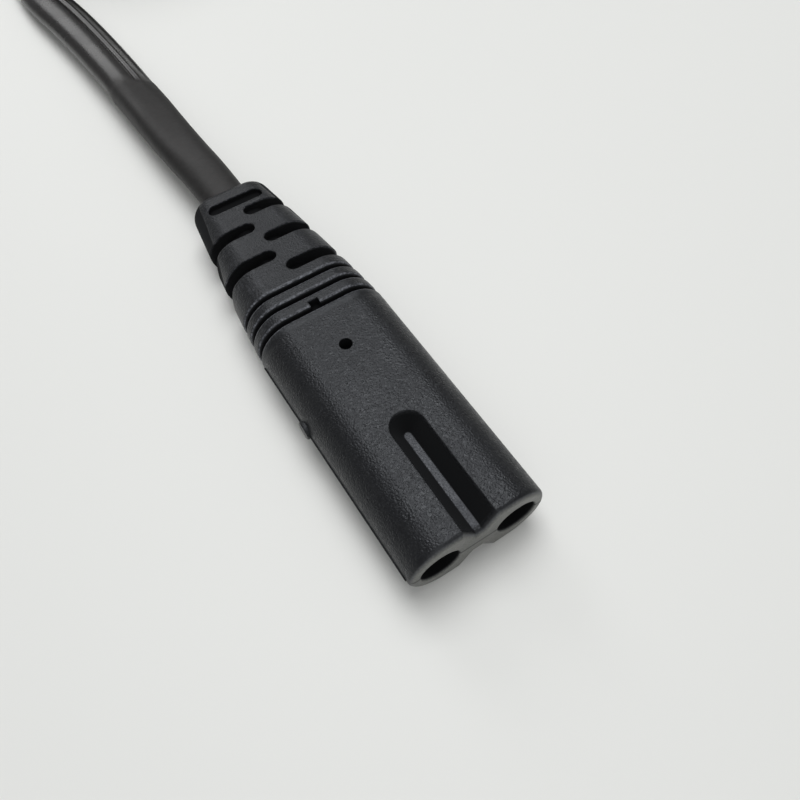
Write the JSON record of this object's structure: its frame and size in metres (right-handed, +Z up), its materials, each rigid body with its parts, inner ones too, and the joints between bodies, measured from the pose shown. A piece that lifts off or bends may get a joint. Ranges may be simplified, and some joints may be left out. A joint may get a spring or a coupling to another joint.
{
  "type": "figure eight power connector",
  "caption": "Flat oval figure eight mains connector with round pin entries, valleys between its lobes, ringed grip and slotted strain relief, on a flat cord with a slim plug.",
  "frame": {"origin": "middle of the connector's underside, on the table", "axes": "X across the two pins, Y along the connector from its mating face to its cord, Z up"},
  "size_m": [0.0517, 0.247, 0.0208],
  "materials": {
    "moulding_black": "soft black moulding, fine spark-eroded texture with a low sheen",
    "cord_black": "smooth satin black sheath",
    "carrier_plastic": "hard dark grey plastic",
    "contact_metal": "bright rolled brass",
    "copper": "stranded copper",
    "core_brown": "brown insulation",
    "core_blue": "blue insulation",
    "tie_black": "woven black strap",
    "plug_black": "soft black moulding, fine texture",
    "bridge_black": "hard black plastic",
    "pin_metal": "nickel-plated brass",
    "sleeve_black": "hard black sleeve"
  },
  "bodies": {
    "root": {"connector_body": "moulding_black", "contact_carrier": "carrier_plastic", "contact_left": "contact_metal", "contact_right": "contact_metal", "core_left": "core_blue", "core_right": "core_brown", "conductor_left": "copper", "conductor_right": "copper", "cord_lead": "cord_black", "cord_hank": "cord_black", "hank_tie": "tie_black", "cord_tail": "cord_black", "plug_body": "plug_black", "plug_bridge": "bridge_black", "plug_pin_left": "pin_metal", "plug_pin_right": "pin_metal", "pin_sleeve_left": "sleeve_black", "pin_sleeve_right": "sleeve_black", "plug_core_left": "core_blue", "plug_core_right": "core_brown", "plug_conductor_left": "copper", "plug_conductor_right": "copper"}
  },
  "joints": []
}
